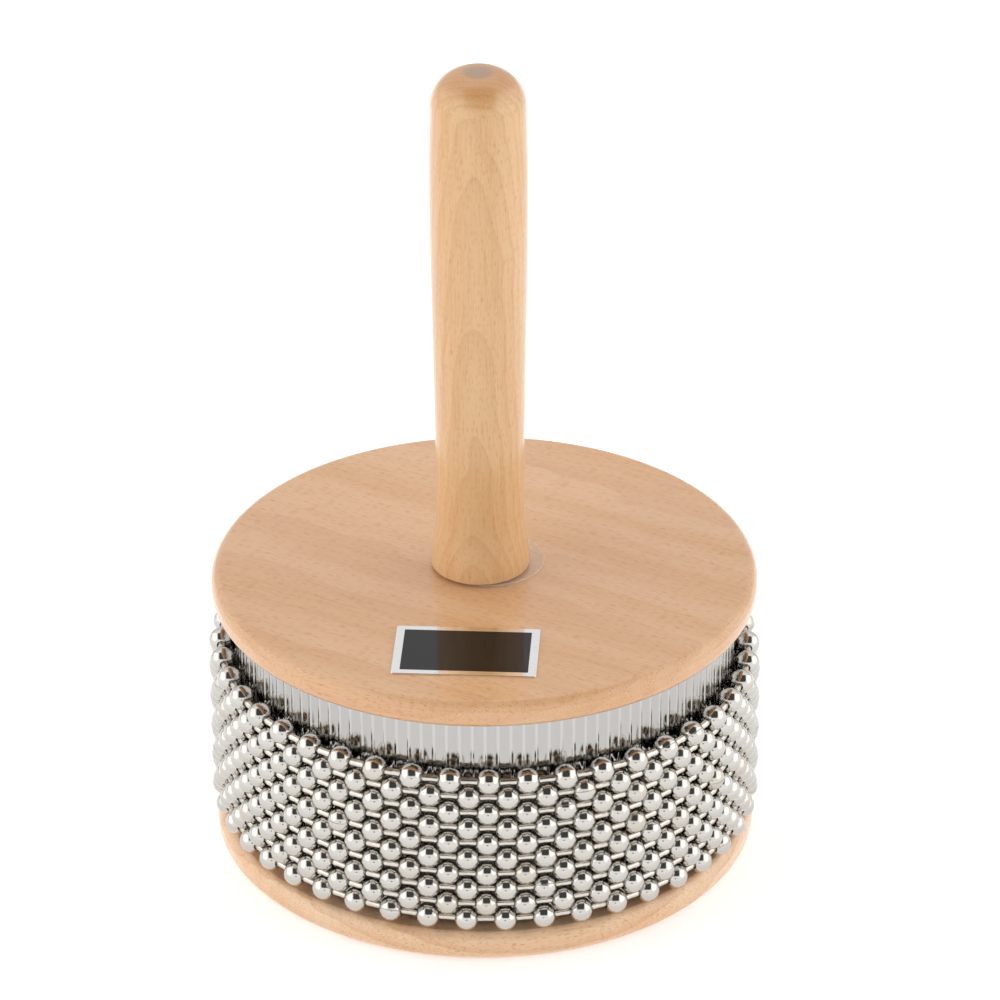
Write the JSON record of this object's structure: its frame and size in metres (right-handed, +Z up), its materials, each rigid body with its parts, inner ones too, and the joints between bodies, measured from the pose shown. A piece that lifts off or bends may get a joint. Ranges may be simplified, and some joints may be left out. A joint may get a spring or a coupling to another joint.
{
  "type": "cabasa",
  "caption": "Hand percussion cabasa: a wooden drum with a ribbed steel sleeve, loops of ball chain that turn on it, and a turned wooden handle bolted on top.",
  "frame": {"origin": "centre of the drum's underside, on the surface that it stands on", "axes": "+Z up along the drum and the handle, -Y towards the front, where the label plate is"},
  "size_m": [0.122, 0.122, 0.1836],
  "materials": {
    "handle_wood": "satin lacquer",
    "disc_wood": "satin lacquer",
    "core_wood": "bare",
    "sleeve_steel": "bright",
    "bead_nickel": "polished nickel",
    "link_nickel": "nickel plate",
    "fastener_steel": "zinc plate",
    "insert_brass": "machined",
    "clear_plastic": "clear",
    "label_foil": "glossy foil"
  },
  "bodies": {
    "drum": {"handle": "handle_wood", "handle_insert": "insert_brass", "handle_pad_washer": "clear_plastic", "top_disc": "disc_wood", "bottom_disc": "disc_wood", "core_drum": "core_wood", "ribbed_sleeve": "sleeve_steel", "sleeve_tacks": "fastener_steel", "tie_bolt": "fastener_steel", "tie_bolt_washer": "fastener_steel", "top_disc_dowels": "core_wood", "bottom_disc_dowels": "core_wood", "label_plate": "label_foil"},
    "chain_loop_01": {"chain_01_beads": "bead_nickel", "chain_01_links": "link_nickel"},
    "chain_loop_02": {"chain_02_beads": "bead_nickel", "chain_02_links": "link_nickel"},
    "chain_loop_03": {"chain_03_beads": "bead_nickel", "chain_03_links": "link_nickel"},
    "chain_loop_04": {"chain_04_beads": "bead_nickel", "chain_04_links": "link_nickel"},
    "chain_loop_05": {"chain_05_beads": "bead_nickel", "chain_05_links": "link_nickel"},
    "chain_loop_06": {"chain_06_beads": "bead_nickel", "chain_06_links": "link_nickel"},
    "chain_loop_07": {"chain_07_beads": "bead_nickel", "chain_07_links": "link_nickel"},
    "chain_loop_08": {"chain_08_beads": "bead_nickel", "chain_08_links": "link_nickel"},
    "chain_loop_09": {"chain_09_beads": "bead_nickel", "chain_09_links": "link_nickel"},
    "chain_loop_10": {"chain_10_beads": "bead_nickel", "chain_10_links": "link_nickel"}
  },
  "joints": [
    {"name": "chain_01_spin", "type": "hinge", "parent": "drum", "child": "chain_loop_01", "pos_m": [0, 0, 0.03], "axis": [0, 0, 1], "continuous": true},
    {"name": "chain_02_spin", "type": "hinge", "parent": "drum", "child": "chain_loop_02", "pos_m": [0, 0, 0.03], "axis": [0, 0, 1], "continuous": true},
    {"name": "chain_03_spin", "type": "hinge", "parent": "drum", "child": "chain_loop_03", "pos_m": [0, 0, 0.03], "axis": [0, 0, 1], "continuous": true},
    {"name": "chain_04_spin", "type": "hinge", "parent": "drum", "child": "chain_loop_04", "pos_m": [0, 0, 0.03], "axis": [0, 0, 1], "continuous": true},
    {"name": "chain_05_spin", "type": "hinge", "parent": "drum", "child": "chain_loop_05", "pos_m": [0, 0, 0.03], "axis": [0, 0, 1], "continuous": true},
    {"name": "chain_06_spin", "type": "hinge", "parent": "drum", "child": "chain_loop_06", "pos_m": [0, 0, 0.03], "axis": [0, 0, 1], "continuous": true},
    {"name": "chain_07_spin", "type": "hinge", "parent": "drum", "child": "chain_loop_07", "pos_m": [0, 0, 0.03], "axis": [0, 0, 1], "continuous": true},
    {"name": "chain_08_spin", "type": "hinge", "parent": "drum", "child": "chain_loop_08", "pos_m": [0, 0, 0.03], "axis": [0, 0, 1], "continuous": true},
    {"name": "chain_09_spin", "type": "hinge", "parent": "drum", "child": "chain_loop_09", "pos_m": [0, 0, 0.03], "axis": [0, 0, 1], "continuous": true},
    {"name": "chain_10_spin", "type": "hinge", "parent": "drum", "child": "chain_loop_10", "pos_m": [0, 0, 0.03], "axis": [0, 0, 1], "continuous": true}
  ],
  "couplings": [
    {"joint": "chain_02_spin", "follows": "chain_01_spin", "ratio": 1},
    {"joint": "chain_03_spin", "follows": "chain_01_spin", "ratio": 1},
    {"joint": "chain_04_spin", "follows": "chain_01_spin", "ratio": 1},
    {"joint": "chain_05_spin", "follows": "chain_01_spin", "ratio": 1},
    {"joint": "chain_06_spin", "follows": "chain_01_spin", "ratio": 1},
    {"joint": "chain_07_spin", "follows": "chain_01_spin", "ratio": 1},
    {"joint": "chain_08_spin", "follows": "chain_01_spin", "ratio": 1},
    {"joint": "chain_09_spin", "follows": "chain_01_spin", "ratio": 1},
    {"joint": "chain_10_spin", "follows": "chain_01_spin", "ratio": 1}
  ]
}
